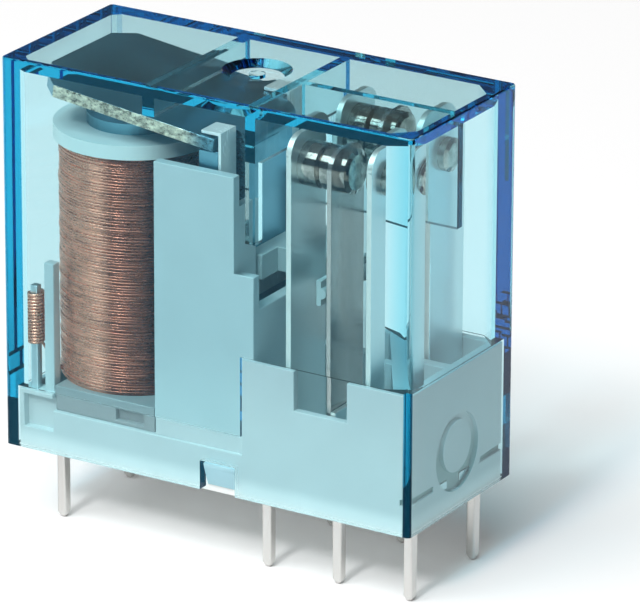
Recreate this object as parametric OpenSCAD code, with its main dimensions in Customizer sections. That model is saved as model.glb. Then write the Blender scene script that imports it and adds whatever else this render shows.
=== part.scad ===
// Two-pole changeover relay under a clear cover, on eight solder pins.
// +X runs from the coil end to the contact end, the front pole lies on -Y, and the pin tips stand on Z = 0.
// Sizes ending in _x start at the coil end of the cover, and heights ending in _h or _z at its lower edge.
// Distances along the relay are given for a cover of the drawn length, and stretch with the cover.

/* [Cover] */
// Outside length, from the coil end to the contact end
cover_l = 29; // [28:0.1:33]
// Outside width
cover_w = 12.2; // [11.6:0.1:14]
// Height from the lower edge to the top of the roof
cover_h = 25.2; // [24:0.1:29]
// Thickness of the walls above the base
cover_wall = 0.9; // [0.7:0.05:1]
// Thickness of the walls round the base
skirt_t = 0.7; // [0.5:0.05:0.75]
// Thickness of the roof
roof_t = 0.9; // [0.7:0.05:1.1]
// Rounding of the four upright edges
edge_r = 0.3; // [0.1:0.05:0.5]
// Distance to the rib over the coil
coil_rib_x = 10.3; // [8:0.1:11]
// Thickness of the rib over the coil
coil_rib_t = 0.85; // [0.6:0.05:1]
// Depth of the rib over the coil
coil_rib_h = 1.2; // [0.6:0.1:1.3]
// Distance to the rib before the contacts
mid_rib_x = 17.5; // [17.3:0.1:18]
// Thickness of the rib before the contacts
mid_rib_t = 0.7; // [0.5:0.05:0.9]
// Depth of the rib before the contacts, under the roof
mid_rib_h = 3; // [1.5:0.1:4]
// Space between its legs on the side walls and the tower's foot
mid_leg_room = 2.1; // [1:0.1:5]
// Depth of these legs, from the side walls
mid_leg_t = 0.8; // [0.5:0.05:1]
// Thickness of the fin between the poles
fin_t = 0.6; // [0.5:0.05:0.8]
// Depth of the fin under the roof
fin_h = 6.5; // [4:0.1:7.5]
// Width of the gate dimple in the roof
dimple_d = 4.3; // [3:0.1:6]
// Width of the slope round the dimple's flat bottom
dimple_slope = 0.5; // [0.2:0.05:0.8]
// Depth of the gate dimple
dimple_h = 0.45; // [0.2:0.05:0.5]
// Diameter of the gate mark in the dimple
gate_d = 1; // [0.6:0.1:1.6]
// Side of the corner posts at the contact end
contact_post = 1.2; // [0.6:0.1:1.4]
// Side of the corner posts at the coil end
coil_post = 0.5; // [0.3:0.1:0.7]
// Distance to the middle of the latch
latch_x = 15.45; // [14:0.05:15.6]
// Width of the latch notch
latch_w = 2.5; // [1.6:0.1:2.6]
// Height of the latch notch
latch_h = 1.9; // [1.4:0.1:2.4]

/* [Base] */
// Clearance between pieces that fit into each other
fit_gap = 0.05; // [0.02:0.01:0.07]
// Height of the base below the cover's lower edge
foot_h = 0.3; // [0.1:0.05:0.6]
// Top of the floor under the coil
floor_h = 1.25; // [1.1:0.05:1.6]
// Thickness of the walls beside the coil
side_wall_t = 0.7; // [0.5:0.05:0.75]
// Height of the blocks at the coil end
end_block_h = 3.7; // [3.5:0.05:4]
// Length of the blocks at the coil end
end_block_l = 2.45; // [2.3:0.05:2.5]
// Depth of the pocket in the face of each block
pocket_t = 0.5; // [0.2:0.05:0.5]
// Distance to the tower beside the yoke
tower_x = 10.6; // [10.5:0.1:11]
// Length of the upper tower
tower_l = 5.7; // [5.5:0.1:6]
// Distance from the yoke's top down to the tower's top
tower_drop = 1; // [0.9:0.1:5]
// Height of the wider foot of the tower
tower_foot_h = 14.2; // [13:0.1:16]
// Space between the pusher and the sides of the tower's opening
opening_room = 0.25; // [0.15:0.05:0.4]
// Height of the partition before the contacts
partition_h = 12; // [9:0.1:12.3]
// Thickness of the partition
partition_t = 0.8; // [0.6:0.1:0.9]
// Height of the rim round the contacts
rim_h = 8.85; // [7.5:0.05:9.5]
// Thickness of the rim beside the contacts
rim_t = 0.55; // [0.45:0.05:0.7]
// Thickness of the rim at the contact end
end_wall_t = 0.9; // [0.7:0.05:1]
// Top of the floor under the contacts
chamber_floor_h = 2.6; // [2.3:0.1:3.5]
// Distance to the middle of the notches in the rim
notch_x = 22.45; // [22:0.05:23]
// Width of these notches
notch_w = 3.7; // [2.5:0.1:4]
// Bottom of these notches
notch_z = 6.3; // [5:0.05:7]
// Thickness of the wall between the poles
pole_wall_t = 0.8; // [0.5:0.1:1]
// Height of the middle of the ring in the end face
ring_z = 3.5; // [3.3:0.05:4.5]
// Outside diameter of the ring
ring_d = 5; // [4:0.1:5.5]
// Inside diameter of the ring
ring_bore = 3.3; // [2:0.1:3.6]
// Depth of the ring
ring_t = 0.3; // [0.2:0.05:0.35]
// Height of the inside of the ring over its middle
ring_lift = 0.35; // [0:0.05:0.4]

/* [Pins] */
// Length of the pins below the base
pin_l = 4.8; // [3:0.1:6]
// Thickness of a pin, along the relay
pin_t = 0.62; // [0.5:0.02:0.7]
// Width of a pin, across the relay
pin_w = 0.72; // [0.5:0.02:0.9]
// Length of the chamfer at the tip
pin_tip = 0.35; // [0.2:0.05:0.8]
// Distance to the coil pins
coil_pin_x = 2.7; // [2.6:0.05:2.75]
// Distance from the contact end to the last contact pins
last_pin_x = 1.3; // [1.25:0.05:1.4]
// Distance between neighbouring contact pins
contact_pitch = 5; // [4.95:0.01:5.04]
// Distance between the two rows
row_pitch = 7.5; // [7:0.05:7.62]

/* [Coil] */
// Distance to the coil's axis
coil_axis_x = 6; // [5.95:0.05:6.05]
// Space between the winding and the cover's side walls
coil_room = 0.4; // [0.3:0.05:0.8]
// Radius of the core
core_r = 2.1; // [1.8:0.05:2.4]
// Radius of the pole face on top of the core
pole_r = 3; // [2.8:0.1:4]
// Thickness of the pole face
pole_t = 0.7; // [0.4:0.05:0.9]
// Wall of the bobbin's tube
tube_t = 0.65; // [0.4:0.05:0.9]
// Thickness of the lower flange
lower_flange_t = 1.65; // [1.4:0.05:2]
// Thickness of the upper flange
upper_flange_t = 0.9; // [0.5:0.05:1.2]
// Height of the base's guide posts beside the coil, above the end blocks
guide_h = 8.3; // [4:0.1:9.6]
// Thickness of the yoke
yoke_t = 1.4; // [1.2:0.05:1.5]
// Distance to the yoke's back
yoke_x = 14.6; // [14.5:0.05:14.65]
// Space between the yoke's top and the inside of the roof
head_room = 3; // [2.9:0.05:4]
// Height of the coil posts that the wire is wound on
post_h = 10.4; // [9:0.1:11]
// Radius of that wire
wire_r = 0.1; // [0.08:0.01:0.12]
// Turns of wire round each post
wire_turns = 16; // [8:1:20]

/* [Armature] */
// Opening angle at rest
open_angle = 7; // [5:0.1:7.2]
// Thickness of the armature
armature_t = 0.8; // [0.6:0.05:0.9]
// Length of the plate, from its hinge
plate_l = 13; // [11:0.1:13.2]
// Cut corners at the plate's free end
plate_chamfer = 1.2; // [0.6:0.1:3]
// Space between the leg and the arms of the hinge spring
leg_room = 0.3; // [0.2:0.05:0.8]
// Distance from the pusher's middle down to the leg's lower end
leg_below = 1.21; // [0.9:0.01:1.6]
// Clearance between the armature and the yoke
hinge_gap = 0.04; // [0.03:0.01:0.06]
// Thickness of the hinge spring
spring_t = 0.2; // [0.1:0.02:0.25]
// Width of each arm of the hinge spring
spring_arm_w = 1.7; // [1:0.1:1.8]
// Height of the pusher's middle
pusher_z = 13.75; // [13.4:0.05:14]
// Height of the pusher
pusher_h = 1.6; // [1.2:0.1:1.7]
// Width of the pusher's bar
bar_w = 1; // [0.8:0.05:1.1]
// Thickness of the pusher's cross bar
cross_t = 0.7; // [0.5:0.05:0.9]
// Space between the pusher and the moving blades at rest
pusher_gap = 0.27; // [0.24:0.01:0.4]

/* [Contacts] */
// Thickness of the fixed blades
blade_t = 0.36; // [0.3:0.02:0.4]
// Thickness of the moving blades
spring_blade_t = 0.3; // [0.2:0.02:0.32]
// Distance from the first contact pins to their blades
nc_jog = 2.2; // [2:0.05:2.4]
// Distance from the middle contact pins to the moving blades
com_jog = 0.05; // [0.03:0.01:0.1]
// Distance from the last contact pins to their blades
no_jog = 2.22; // [2.12:0.01:2.25]
// Space between the top of the fixed blades and the inside of the roof
blade_room = 0.9; // [0.6:0.05:1.5]
// Distance from the top of the fixed blades to the contacts
contact_drop = 2.1; // [2:0.05:2.6]
// Distance from the top of the fixed blades to the top of the moving blades
moving_drop = 0.6; // [0.3:0.05:0.7]
// Rounding of the blades' top corners
blade_r = 1.3; // [0.6:0.05:1.4]
// Space between the blades and the fin
fin_room = 0.45; // [0.35:0.05:0.6]
// Space between the blades and the rim
rim_room = 0.05; // [0.04:0.01:0.2]
// Height where the moving blades bend
flex_z = 6.5; // [6:0.1:7]
// Length of the moving blades below that bend
blade_tail = 1.9; // [1:0.1:2.4]
// Radius of the contacts
contact_r = 1.4; // [1:0.05:1.5]
// Thickness of the moving contacts towards the coil
moving_head_nc = 1; // [0.8:0.05:1.3]
// Thickness of the moving contacts towards the contact end
moving_head_no = 0.7; // [0.5:0.02:0.72]
// Thickness of the last fixed contacts
no_head = 0.55; // [0.45:0.02:0.57]
// Space between closed contacts
contact_gap = 0.05; // [0.03:0.01:0.08]
// Thickness of the rivet tails behind the fixed contacts
tail_t = 0.6; // [0.3:0.05:0.8]

/* [Hidden] */
$fn = 64;

// Cover length that the distances along the relay are given for
drawn_l = 29;

// Colours of the materials
clear_blue = [0.45, 0.78, 0.92, 0.4];
off_white = [0.9, 0.91, 0.88];
steel = [0.55, 0.55, 0.54];
copper = [0.72, 0.42, 0.25];
tin = [0.82, 0.81, 0.78];
bronze = [0.66, 0.58, 0.46];
silver = [0.8, 0.8, 0.8];

// Room inside the cover: half sizes above the base, and in the skirt that holds the base
coil_end = -cover_l / 2;
stretch = cover_l / drawn_l;
cover_z = pin_l + foot_h;
roof_z = cover_h - roof_t;
inner_l = cover_l / 2 - cover_wall;
inner_w = cover_w / 2 - cover_wall;
skirt_l = cover_l / 2 - skirt_t;
skirt_w = cover_w / 2 - skirt_t;
step_gap = 0.15;
coil_step_z = end_block_h + step_gap;
contact_step_z = rim_h + step_gap;

// Base
base_l = skirt_l - fit_gap;
base_w = skirt_w - fit_gap;
side_wall_h = floor_h + yoke_t;
side_inner = base_w - side_wall_t;
block_end = -base_l + stretch * end_block_l;
block_w = 1.4;
block_wall = 0.35;
pocket_lip = 0.3;
tower_out = inner_w - fit_gap;
tower_in = tower_out - side_wall_t;
tower_0 = coil_end + stretch * tower_x;
tower_1 = tower_0 + stretch * tower_l;
tower_wall = 0.6;
tower_step = 2;
partition_lap = 0.2;
partition_1 = coil_end + stretch * mid_rib_x + partition_lap;
partition_0 = partition_1 - partition_t;
rim_in = base_w - rim_t;
latch_mid = coil_end + stretch * latch_x;
notch_mid = coil_end + stretch * notch_x;
seam_z = 1.8;
seam_h = 0.4;
seam_t = 0.2;

// Pins and the feet of the terminals in the floor
coil_x = coil_end + stretch * coil_pin_x;
no_x = cover_l / 2 - stretch * last_pin_x;
com_x = no_x - stretch * contact_pitch;
nc_x = com_x - stretch * contact_pitch;
row_y = row_pitch / 2;
tip_share = 0.6;
insert_gap = 0.02;
foot_lift = 0.05;
foot_z = floor_h + foot_lift;
foot_t = 0.5;
jog_z = 0.2;

// Coil
axis_x = coil_end + stretch * coil_axis_x;
end_room = 0.3;
winding_r = min(inner_w - coil_room, stretch * coil_axis_x - cover_wall - end_room);
flange_room = 0.15;
flange_lip = 0.25;
flange_w = inner_w - flange_room;
flange_z = side_wall_h + lower_flange_t;
yoke_1 = coil_end + stretch * yoke_x;
yoke_0 = yoke_1 - yoke_t;
yoke_room = 0.25;
yoke_w = tower_in - yoke_room;
yoke_top = roof_z - head_room;
tower_h = yoke_top - tower_drop;
core_foot_r = core_r * 0.7;
tube_r = core_r + fit_gap + tube_t;
upper_z = yoke_top - pole_t - upper_flange_t;
post = 0.5;
post_inset = 0.8;
post_wall = 0.1;
post_x = -base_l + post_inset;
post_y = base_w - pocket_t - post_wall - post / 2;
wire_gap = 0.02;
wire_drop = 0.25;
wire_ring_r = post * sqrt(0.5) + wire_r + wire_gap;
wire_pitch = wire_r * 2.2;
wire_z = post_h - wire_drop - wire_turns * wire_pitch;
guide = 0.7;
guide_gap = 0.13;
guide_x = post_x + wire_ring_r + wire_r + guide_gap + guide / 2;
guide_y = tower_in - flange_room;
window_at = 1.65;
window_l = 2;
window_t = 0.4;
window_sill = 0.25;
window_head = 0.6;

// Armature, whose inner corner lies just off the yoke's top edge
hinge_x = yoke_1 + hinge_gap;
hinge_z = yoke_top + hinge_gap;
plate_room = 0.7;
plate_w = inner_w - plate_room;
leg_l = hinge_z - pusher_z + leg_below;
leg_w = 2 * (yoke_w - spring_arm_w - leg_room);
leg_1 = hinge_x + armature_t;
stud_r = 0.45;
stud_y = leg_w / 4;
hub_t = 1.1;
hub_lip = 0.15;
hub_w = leg_w + 2 * hub_lip;
opening_w = hub_w + 2 * opening_room;
spring_below = 1.6;
spring_0 = yoke_1 + hinge_gap / 2;
spring_out = yoke_w;
finger_l = 1.2;

// Blades and contacts of a pole
blade_top = roof_z - blade_room;
contact_z = blade_top - contact_drop;
blade_in = fin_t / 2 + fin_room;
blade_out = rim_in - rim_room;
blade_y = (blade_in + blade_out) / 2;
blade_w = blade_out - blade_in;
blade_margin = 0.1;
moving_w = blade_w - 2 * blade_margin;
nc_blade_x = nc_x + stretch * nc_jog;
no_blade_x = no_x - stretch * no_jog;
moving_x = com_x - com_jog;
moving_0 = moving_x - spring_blade_t / 2;
moving_1 = moving_x + spring_blade_t / 2;
com_tab_x = moving_1 + insert_gap + blade_t / 2;
nc_head = moving_0 - moving_head_nc - contact_gap - nc_blade_x - blade_t / 2;
shank_r = contact_r * 0.5;
tail_r = contact_r * 0.75;
contact_edge = 0.15;
shank_lap = 0.1;
cross_1 = moving_0 - pusher_gap;

// Puts a piece that is measured from the cover's lower edge at its height over the pin tips.
module over_pins() {
    translate([0, 0, cover_z]) children();
}

// Draws a piece of the front pole where it is, or mirrored at the back.
module pole(side) {
    over_pins() mirror([0, side == "back" ? 1 : 0, 0]) children();
}

// Box between two corners, grown by a clearance on every side.
module span(low, high, grow = 0) {
    translate([low[0] - grow, low[1] - grow, low[2] - grow])
        cube([high[0] - low[0] + 2 * grow, high[1] - low[1] + 2 * grow, high[2] - low[2] + 2 * grow]);
}

// Extrudes an outline drawn in X and Z along Y, about the middle.
module across(w) {
    rotate([90, 0, 0]) linear_extrude(w, center = true) children();
}

// Extrudes an outline drawn in Y and Z along X, from a starting place.
module along(x, t) {
    translate([x, 0, 0]) rotate([90, 0, 90]) linear_extrude(t) children();
}

// Rectangle with round corners, about the origin.
module round_box(l, w, r) {
    square([l, w - 2 * r], center = true);
    square([l - 2 * r, w], center = true);
    for (x = [-1, 1], y = [-1, 1]) translate([x * (l / 2 - r), y * (w / 2 - r)]) circle(r);
}

// Outline of a blade: a strip with two round top corners.
module blade_outline(mid, w, low, high, r) {
    translate([mid - w / 2, low]) square([w, high - low - r]);
    translate([mid - w / 2 + r, low]) square([w - 2 * r, high - low]);
    for (s = [-1, 1]) translate([mid + s * (w / 2 - r), high - r]) circle(r);
}

// Three-sided post that stiffens an upright corner of the cover, from the roof down to a height.
module corner_post(x_side, y_side, leg, low) {
    corner = [x_side * inner_l, y_side * inner_w];
    translate([0, 0, low]) linear_extrude(roof_z - low)
        polygon([corner, corner - [x_side * leg, 0], corner - [0, y_side * leg]]);
}

// Hollow of the cover: the room above the base and the wider skirt round it.
module cover_room() {
    step_x = partition_0 - fit_gap;
    span([-inner_l, -inner_w, -1], [inner_l, inner_w, roof_z]);
    span([-skirt_l, -skirt_w, -1], [step_x, skirt_w, coil_step_z]);
    span([step_x, -skirt_w, -1], [skirt_l, skirt_w, contact_step_z]);
}

module cover() {
    dimple_low = dimple_d - 2 * dimple_slope;
    rib_0 = coil_end + stretch * coil_rib_x - coil_rib_t / 2;
    mid_0 = coil_end + stretch * mid_rib_x - mid_rib_t / 2;
    mid_leg_z = tower_foot_h + mid_leg_room;
    mid_1 = mid_0 + mid_rib_t;
    color(clear_blue) over_pins() {
        difference() {
            linear_extrude(cover_h) round_box(cover_l, cover_w, edge_r);
            cover_room();
            translate([0, 0, cover_h - dimple_h])
                cylinder(h = 2 * dimple_h, d1 = dimple_low, d2 = dimple_low + 4 * dimple_slope);
            for (y = [-1, 1]) translate([latch_mid, y * cover_w / 2, 0])
                cube([latch_w, 4 * cover_wall, 2 * latch_h], center = true);
        }
        translate([0, 0, roof_z]) cylinder(h = roof_t - dimple_h / 2, d = gate_d);
        span([rib_0, -inner_w, roof_z - coil_rib_h], [rib_0 + coil_rib_t, inner_w, roof_z]);
        span([mid_0, -inner_w, roof_z - mid_rib_h], [mid_1, inner_w, roof_z]);
        span([mid_0, -inner_w, mid_leg_z], [mid_1, -inner_w + mid_leg_t, roof_z]);
        span([mid_0, inner_w - mid_leg_t, mid_leg_z], [mid_1, inner_w, roof_z]);
        span([mid_0, -fin_t / 2, roof_z - fin_h], [inner_l, fin_t / 2, roof_z]);
        for (y = [-1, 1]) {
            corner_post(1, y, contact_post, contact_step_z);
            corner_post(-1, y, coil_post, coil_step_z);
        }
    }
}

// Catch on the base that snaps into the cover's notch, drawn for the front.
module latch_lug() {
    out = base_w + skirt_t * 0.8;
    lug_w = latch_w - 0.3;
    along(latch_mid - lug_w / 2, lug_w)
        polygon([[-base_w + 0.1, 0.15], [-base_w - 0.1, 0.15], [-out, latch_h - 0.5], [-out, latch_h - 0.15],
                 [-base_w + 0.1, latch_h - 0.15]]);
}

// Block at the coil end, front side, with the pocket in its face and the guide post on top.
module end_block() {
    difference() {
        span([-base_l, -base_w, 0], [block_end, -base_w + block_w, end_block_h]);
        span([-base_l + block_wall, -base_w - 1, floor_h],
             [block_end + 1, -base_w + pocket_t, end_block_h - pocket_lip]);
    }
    span([guide_x - guide / 2, -guide_y - guide / 2, end_block_h - pocket_lip],
         [guide_x + guide / 2, -guide_y + guide / 2, end_block_h + guide_h]);
}

// Walls of the base on the front side, from the coil end to the contact end.
module base_side() {
    end_block();
    span([block_end, -base_w, 0], [partition_1, -side_inner, side_wall_h]);
    span([tower_0, -tower_out, 0], [tower_1, -tower_in, tower_h]);
    span([tower_0, -tower_out, 0], [partition_1, -tower_in, tower_foot_h]);
    span([tower_1 - tower_wall, -tower_out, 0], [tower_1, -opening_w / 2, tower_h - tower_step]);
    difference() {
        span([partition_0, -base_w, 0], [base_l, -rim_in, rim_h]);
        span([notch_mid - notch_w / 2, -base_w - 1, notch_z], [notch_mid + notch_w / 2, -rim_in + 1, rim_h + 1]);
    }
    latch_lug();
}

// Ring and seam that are sunk in the outer face at the contact end.
module end_marks() {
    translate([base_l - ring_t, 0, ring_z]) rotate([0, 90, 0]) difference() {
        cylinder(h = 2 * ring_t, d = ring_d);
        translate([-ring_lift, 0, -ring_t]) cylinder(h = 4 * ring_t, d = ring_bore);
    }
    for (y = [0, 1]) mirror([0, y, 0])
        span([base_l - seam_t, ring_d / 2 + 0.3, seam_z], [base_l + 1, base_w + 1, seam_z + seam_h]);
}

module base() {
    color(off_white) over_pins() difference() {
        union() {
            span([-base_l, -base_w, -foot_h], [base_l, base_w, floor_h]);
            base_side();
            mirror([0, 1, 0]) base_side();
            span([-base_l, -base_w, 0], [-base_l + block_wall, base_w, end_block_h]);
            span([partition_0, -base_w, 0], [base_l, base_w, chamber_floor_h]);
            span([partition_0, -tower_out, 0], [partition_1, tower_out, partition_h]);
            span([partition_0, -base_w, 0], [partition_1, base_w, rim_h]);
            span([partition_0, -pole_wall_t / 2, 0], [base_l, pole_wall_t / 2, rim_h]);
            span([base_l - end_wall_t, -base_w, 0], [base_l, base_w, rim_h]);
        }
        end_marks();
        for (y = [0, 1]) mirror([0, y, 0]) {
            coil_pin_shape(insert_gap);
            terminal_shape(nc_x, nc_blade_x, chamber_floor_h + 1, insert_gap);
            terminal_shape(com_x, com_tab_x, chamber_floor_h + 1, insert_gap);
            terminal_shape(no_x, no_blade_x, chamber_floor_h + 1, insert_gap);
        }
    }
}

// Front half of the bobbin's lower flange with its small window.
module flange_side() {
    flange_0 = block_end + fit_gap;
    window_0 = axis_x + window_at;
    difference() {
        span([flange_0, -flange_w, side_wall_h], [tower_0 - 0.1, 0, flange_z]);
        span([window_0, -flange_w - 1, side_wall_h + window_sill],
             [window_0 + window_l, -flange_w + window_t, flange_z - window_head]);
    }
}

module bobbin() {
    color(off_white) over_pins() difference() {
        union() {
            flange_side();
            mirror([0, 1, 0]) flange_side();
            translate([axis_x, 0, side_wall_h]) cylinder(h = upper_z + upper_flange_t - side_wall_h, r = tube_r);
            translate([axis_x, 0, upper_z]) cylinder(h = upper_flange_t, r = winding_r + flange_lip);
        }
        translate([axis_x, 0, 0]) cylinder(h = cover_h, r = core_r + fit_gap);
    }
}

module winding() {
    color(copper) over_pins() translate([axis_x, 0, flange_z]) difference() {
        cylinder(h = upper_z - flange_z, r = winding_r);
        translate([0, 0, -1]) cylinder(h = cover_h, r = tube_r + wire_gap);
    }
}

module core() {
    color(steel) over_pins() translate([axis_x, 0, 0]) {
        translate([0, 0, floor_h]) cylinder(h = yoke_t + 0.1, r = core_foot_r);
        translate([0, 0, side_wall_h]) cylinder(h = yoke_top - side_wall_h - pole_t / 2, r = core_r);
        translate([0, 0, yoke_top - pole_t]) cylinder(h = pole_t, r = pole_r);
    }
}

module yoke() {
    color(steel) over_pins() difference() {
        union() {
            span([block_end + 0.2, -yoke_w, floor_h], [yoke_1, yoke_w, side_wall_h]);
            span([yoke_0, -yoke_w, floor_h], [yoke_1, yoke_w, yoke_top]);
        }
        translate([axis_x, 0, 0]) cylinder(h = side_wall_h + 1, r = core_foot_r);
    }
}

// Front arm of the hinge spring: up the yoke's back and over the armature's shoulder.
module spring_arm() {
    low = yoke_top - leg_l - spring_below;
    top = hinge_z + armature_t / cos(open_angle) + (finger_l + hinge_gap) * tan(open_angle) + 0.03;
    span([spring_0, -spring_out, low], [spring_0 + spring_t, -spring_out + spring_arm_w, top + spring_t]);
    span([spring_0 - finger_l, -spring_out, top],
         [spring_0 + spring_t, -spring_out + spring_arm_w, top + spring_t]);
    span([spring_0, -spring_out, low], [spring_0 + spring_t, 0, low + 1.2]);
}

module hinge_spring() {
    color(tin) over_pins() {
        spring_arm();
        mirror([0, 1, 0]) spring_arm();
    }
}

// Section of the armature's bend: plate, round corner and leg, about the hinge.
module armature_section() {
    rotate(-open_angle) translate([-1.5, 0]) square([1.5, armature_t]);
    translate([0, -leg_l]) square([armature_t, leg_l]);
    intersection() {
        circle(armature_t);
        polygon([[0, 0], [2 * armature_t, 0], [2 * armature_t, 2 * armature_t],
                 [2 * armature_t * tan(open_angle), 2 * armature_t]]);
    }
}

module armature() {
    shoulder = -0.25;
    tip = -stretch * plate_l;
    color(steel) over_pins() translate([hinge_x, 0, hinge_z]) {
        difference() {
            across(leg_w) armature_section();
            for (y = [-stud_y, stud_y]) translate([-1, y, pusher_z - hinge_z])
                rotate([0, 90, 0]) cylinder(h = armature_t + 2, r = stud_r + 0.01);
        }
        rotate([0, open_angle, 0]) linear_extrude(armature_t) polygon([
            [shoulder, -plate_w], [shoulder, plate_w], [tip + plate_chamfer, plate_w],
            [tip, plate_w - plate_chamfer], [tip, -plate_w + plate_chamfer], [tip + plate_chamfer, -plate_w]
        ]);
    }
}

module pusher() {
    low = pusher_z - pusher_h / 2;
    high = pusher_z + pusher_h / 2;
    nose_r = cross_t / 2;
    cross_w = blade_out - 0.5;
    color(off_white) over_pins() {
        span([leg_1, -hub_w / 2, low], [leg_1 + hub_t, hub_w / 2, high]);
        span([leg_1, -bar_w / 2, low], [cross_1 - nose_r, bar_w / 2, high]);
        span([cross_1 - cross_t, -cross_w, low], [cross_1 - nose_r, cross_w, high]);
        translate([cross_1 - nose_r, 0, pusher_z]) across(2 * cross_w) circle(nose_r);
        for (y = [-stud_y, stud_y]) translate([hinge_x, y, pusher_z])
            rotate([0, 90, 0]) cylinder(h = armature_t + 0.1, r = stud_r);
    }
}

// Outline of a pin of one thickness, with a narrowed tip.
function pin_outline(t, top, grow) = [
    [-t * tip_share / 2 - grow, -cover_z], [t * tip_share / 2 + grow, -cover_z],
    [t / 2 + grow, pin_tip - cover_z], [t / 2 + grow, top + grow],
    [-t / 2 - grow, top + grow], [-t / 2 - grow, pin_tip - cover_z]
];

// Square pin with a chamfered tip, from below the board up to a height, drawn for the front.
module pin(x, top, grow = 0) {
    translate([x, -row_y, 0]) intersection() {
        across(2 * pin_w) polygon(pin_outline(pin_t, top, grow));
        along(-pin_t, 2 * pin_t) polygon(pin_outline(pin_w, top, grow));
    }
}

// Coil pin with the post that its wire is wound on, drawn for the front.
module coil_pin_shape(grow = 0) {
    pin(coil_x, jog_z + foot_t, grow);
    span([post_x - post / 2, -post_y - post / 2, jog_z],
         [coil_x + pin_t / 2, -row_y + pin_w / 2, jog_z + foot_t], grow);
    span([post_x - post / 2, -post_y - post / 2, jog_z], [post_x + post / 2, -post_y + post / 2, post_h], grow);
}

module coil_pin(side) {
    color(tin) pole(side) coil_pin_shape();
}

// Wire wound round the post, and its end that runs to the winding.
module coil_wire(side) {
    start = [post_x, -post_y + wire_ring_r, wire_z];
    toward = atan2(-post_y, post_x - axis_x);
    end = [axis_x + winding_r * cos(toward), winding_r * sin(toward), flange_z + 0.4];
    run = end - start;
    color(copper) pole(side) {
        translate([post_x, -post_y, wire_z]) rotate_extrude() {
            translate([wire_ring_r - wire_r, 0]) square([wire_r, wire_pitch * (wire_turns - 1)]);
            for (i = [0:wire_turns - 1]) translate([wire_ring_r, i * wire_pitch]) circle(wire_r, $fn = 24);
        }
        translate(start) rotate([0, acos(run[2] / norm(run)), atan2(run[1], run[0])])
            cylinder(h = norm(run) - 0.08, r = wire_r * 0.8, $fn = 24);
    }
}

// Pin, foot and upright tab of a contact terminal, drawn for the front.
module terminal_shape(pin_x, tab_x, tab_top, grow = 0) {
    pin(pin_x, foot_z + foot_t, grow);
    span([min(pin_x - pin_t / 2, tab_x - blade_t / 2), -blade_out, foot_z],
         [max(pin_x + pin_t / 2, tab_x + blade_t / 2), -blade_in, foot_z + foot_t], grow);
    span([tab_x - blade_t / 2, -blade_out, foot_z], [tab_x + blade_t / 2, -blade_in, tab_top], grow);
}

// Hole for the shank of a contact, through the blade at a place along X.
module rivet_hole(x) {
    translate([x - 1, -blade_y, contact_z]) rotate([0, 90, 0]) cylinder(h = 2, r = shank_r);
}

// Fixed terminal with its tall blade, which has round top corners and a hole for its contact.
module fixed_terminal(pin_x, blade_x) {
    difference() {
        union() {
            terminal_shape(pin_x, blade_x, chamber_floor_h + 1);
            along(blade_x - blade_t / 2, blade_t)
                blade_outline(-blade_y, blade_w, chamber_floor_h, blade_top, blade_r);
        }
        rivet_hole(blade_x);
    }
}

module nc_terminal(side) {
    color(tin) pole(side) fixed_terminal(nc_x, nc_blade_x);
}

module no_terminal(side) {
    color(tin) pole(side) fixed_terminal(no_x, no_blade_x);
}

module com_terminal(side) {
    color(tin) pole(side) terminal_shape(com_x, com_tab_x, flex_z);
}

module moving_blade(side) {
    color(bronze) pole(side) difference() {
        along(moving_0, spring_blade_t)
            blade_outline(-blade_y, moving_w, flex_z - blade_tail, blade_top - moving_drop, blade_r);
        rivet_hole(moving_x);
    }
}

// Head of a contact that starts on a blade's face and grows along X, or against it.
module contact_head(x, t, r, dir) {
    translate([x, -blade_y, contact_z]) rotate([0, dir * 90, 0]) {
        cylinder(h = t - contact_edge, r = r);
        translate([0, 0, t - contact_edge]) cylinder(h = contact_edge, r1 = r, r2 = r - 2 * contact_edge);
    }
}

// Shank of a contact, through a blade and into the heads on both its faces.
module shank(x, t) {
    translate([x - t / 2 - shank_lap, -blade_y, contact_z]) rotate([0, 90, 0])
        cylinder(h = t + 2 * shank_lap, r = shank_r);
}

module moving_contact(side) {
    color(silver) pole(side) {
        contact_head(moving_0, moving_head_nc, contact_r, -1);
        contact_head(moving_1, moving_head_no, contact_r, 1);
        shank(moving_x, spring_blade_t);
    }
}

module nc_contact(side) {
    color(silver) pole(side) {
        contact_head(nc_blade_x + blade_t / 2, nc_head, contact_r, 1);
        contact_head(nc_blade_x - blade_t / 2, tail_t, tail_r, -1);
        shank(nc_blade_x, blade_t);
    }
}

module no_contact(side) {
    color(silver) pole(side) {
        contact_head(no_blade_x - blade_t / 2, no_head, contact_r, -1);
        contact_head(no_blade_x + blade_t / 2, tail_t, tail_r, 1);
        shank(no_blade_x, blade_t);
    }
}

cover();
base();
bobbin();
winding();
core();
yoke();
hinge_spring();
armature();
pusher();
coil_pin("front");  // coil_pin_front
coil_pin("back");  // coil_pin_back
coil_wire("front");  // coil_wire_front
coil_wire("back");  // coil_wire_back
nc_terminal("front");  // nc_terminal_front
nc_terminal("back");  // nc_terminal_back
com_terminal("front");  // com_terminal_front
com_terminal("back");  // com_terminal_back
no_terminal("front");  // no_terminal_front
no_terminal("back");  // no_terminal_back
moving_blade("front");  // moving_blade_front
moving_blade("back");  // moving_blade_back
moving_contact("front");  // moving_contact_front
moving_contact("back");  // moving_contact_back
nc_contact("front");  // nc_contact_front
nc_contact("back");  // nc_contact_back
no_contact("front");  // no_contact_front
no_contact("back");  // no_contact_back
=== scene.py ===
"""Looks of a two-pole circuit-board relay under a clear blue cover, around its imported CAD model."""

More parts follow.
